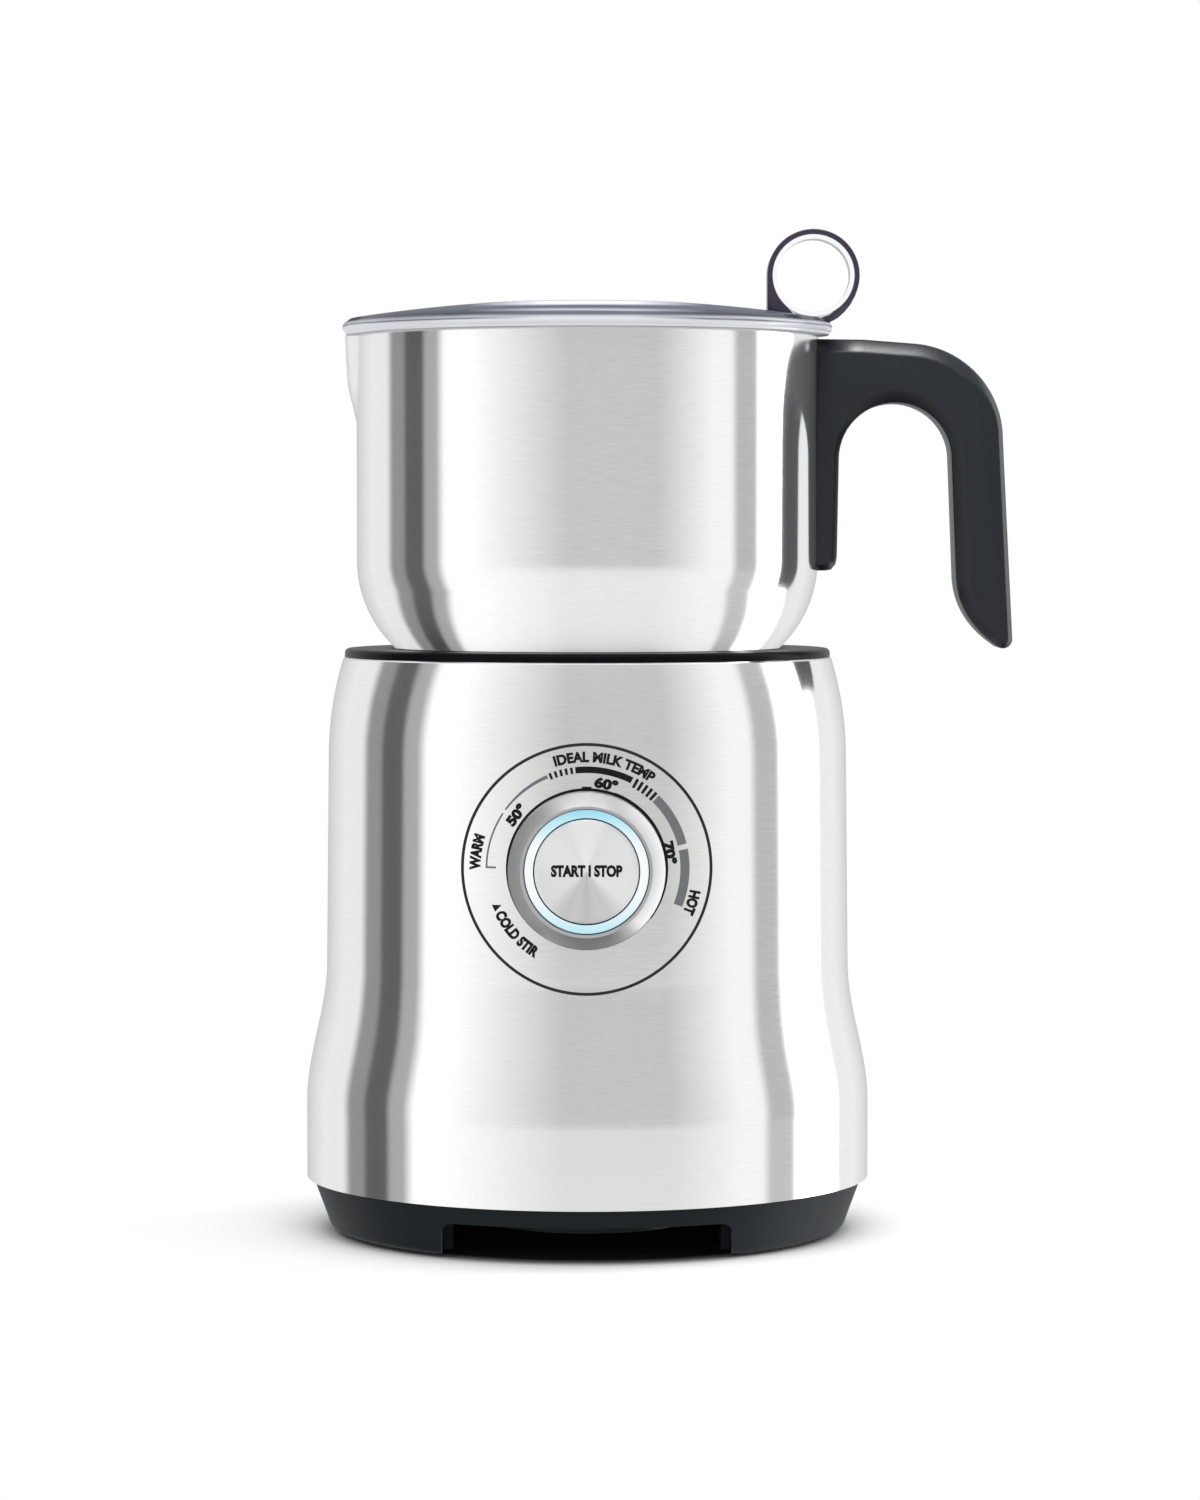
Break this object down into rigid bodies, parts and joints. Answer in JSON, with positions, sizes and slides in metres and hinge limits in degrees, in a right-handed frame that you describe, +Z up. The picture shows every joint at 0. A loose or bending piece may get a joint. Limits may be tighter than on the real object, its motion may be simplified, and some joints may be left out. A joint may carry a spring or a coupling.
{
  "type": "milk frother",
  "caption": "Induction milk frother: steel base with a temperature dial and lit start button, lift-off steel jug with handle, magnetic stirring disc and clear lid with finger ring.",
  "frame": {"origin": "centre of the ring-shaped face that the rubber foot stands on, on the axis of the base and the jug", "axes": "+Z up along the axis of the base, jug and drive, -Y out of the dial at the front, +X towards the jug's handle"},
  "size_m": [0.1946, 0.1597, 0.276],
  "materials": {
    "casing_steel": "brushed round the body",
    "plate_steel": "brushed, with black dial marks",
    "jug_steel": "brushed round the jug",
    "knob_metal": "spun, with a bright bevel",
    "button_metal": "spun in circles from the centre",
    "skirt_plastic": "satin charcoal",
    "handle_plastic": "satin charcoal",
    "deck_plastic": "black, smooth",
    "under_plastic": "moulded black",
    "rubber": "soft black",
    "seal_silicone": "translucent grey",
    "lid_clear": "clear moulded plastic",
    "ring_violet": "dark violet, clear inside",
    "light_pipe": "milky, lit cyan",
    "frame_plastic": "natural moulded",
    "heat_plastic": "heat resistant",
    "stir_plastic": "moulded",
    "screw_steel": "zinc plated",
    "copper": "lacquered copper",
    "bronze": "sintered bronze",
    "magnet": "sintered",
    "board": "green lacquer",
    "parts": "moulded cases",
    "led": "clear",
    "sink": "extruded"
  },
  "bodies": {
    "base": {"body_shell": "casing_steel", "dial_plate": "plate_steel", "dial_gasket": "rubber", "base_skirt": "skirt_plastic", "bottom_cover": "under_plastic", "foot_ring": "rubber", "cord_gland": "under_plastic", "tie_screws": "screw_steel", "top_deck": "deck_plastic", "deck_seal": "seal_silicone", "inner_frame": "frame_plastic", "coil_insulator": "heat_plastic", "induction_coil": "copper", "coil_former": "heat_plastic", "ferrite_bars": "magnet", "sensor_guide": "heat_plastic", "sensor_spring": "screw_steel", "motor_bracket": "screw_steel", "motor_screws": "screw_steel", "motor_can": "screw_steel", "motor_end_cap": "under_plastic", "motor_bearings": "bronze", "field_magnets": "magnet", "fan_housing": "under_plastic", "power_board": "board", "power_components": "parts", "heat_sink": "sink", "control_mount": "frame_plastic", "control_board": "board", "tact_switch": "parts", "encoder_sensor": "under_plastic", "ring_leds": "led", "light_ring": "light_pipe", "knob_bush": "frame_plastic", "button_spring": "screw_steel"},
    "drive": {"motor_shaft": "screw_steel", "armature": "copper", "drive_hub": "frame_plastic", "drive_magnets": "magnet"},
    "fan": {"fan_rotor": "under_plastic"},
    "dial": {"dial_knob": "knob_metal", "code_ring": "under_plastic"},
    "button": {"start_button": "button_metal"},
    "sensor": {"sensor_plunger": "screw_steel"},
    "jug": {"jug_body": "jug_steel", "jug_base_plate": "screw_steel", "whisk_post": "screw_steel", "handle_bracket": "screw_steel", "jug_handle": "handle_plastic", "handle_screws": "screw_steel"},
    "stirrer": {"frothing_disc": "stir_plastic", "disc_magnets": "magnet"},
    "lid": {"lid_dome": "lid_clear", "lid_seal": "seal_silicone", "finger_ring": "ring_violet"},
    "cap": {"measuring_cap": "lid_clear", "cap_seal": "seal_silicone"}
  },
  "joints": [
    {"name": "drive_spin", "type": "hinge", "parent": "base", "child": "drive", "pos_m": [0, 0, 0.12], "axis": [0, 0, 1], "continuous": true},
    {"name": "fan_spin", "type": "hinge", "parent": "base", "child": "fan", "pos_m": [-0.038, 0, 0.02], "axis": [0, 0, 1], "continuous": true},
    {"name": "dial_turn", "type": "hinge", "parent": "base", "child": "dial", "pos_m": [0, -0.07, 0.1044], "axis": [0, 1, 0], "range_deg": [-132, 112]},
    {"name": "button_press", "type": "slide", "parent": "base", "child": "button", "axis": [0, 1, 0], "range_m": [0, 0.0012], "stiffness_N_per_m": 400, "springref_m": -0.002, "deforming": ["button_spring"]},
    {"name": "sensor_press", "type": "slide", "parent": "base", "child": "sensor", "axis": [0, 0, -1], "range_m": [0, 0.0012], "stiffness_N_per_m": 300, "springref_m": -0.002, "deforming": ["sensor_spring"]},
    {"name": "jug_lift", "type": "slide", "parent": "base", "child": "jug", "axis": [0, 0, 1], "range_m": [0, 0.06]},
    {"name": "stirrer_spin", "type": "hinge", "parent": "jug", "child": "stirrer", "pos_m": [0, 0, 0.165], "axis": [0, 0, 1], "continuous": true},
    {"name": "lid_lift", "type": "slide", "parent": "jug", "child": "lid", "axis": [0, 0, 1], "range_m": [0, 0.04]},
    {"name": "cap_lift", "type": "slide", "parent": "lid", "child": "cap", "axis": [0, 0, 1], "range_m": [0, 0.03]}
  ],
  "couplings": [
    {"joint": "stirrer_spin", "follows": "drive_spin", "ratio": 1}
  ]
}
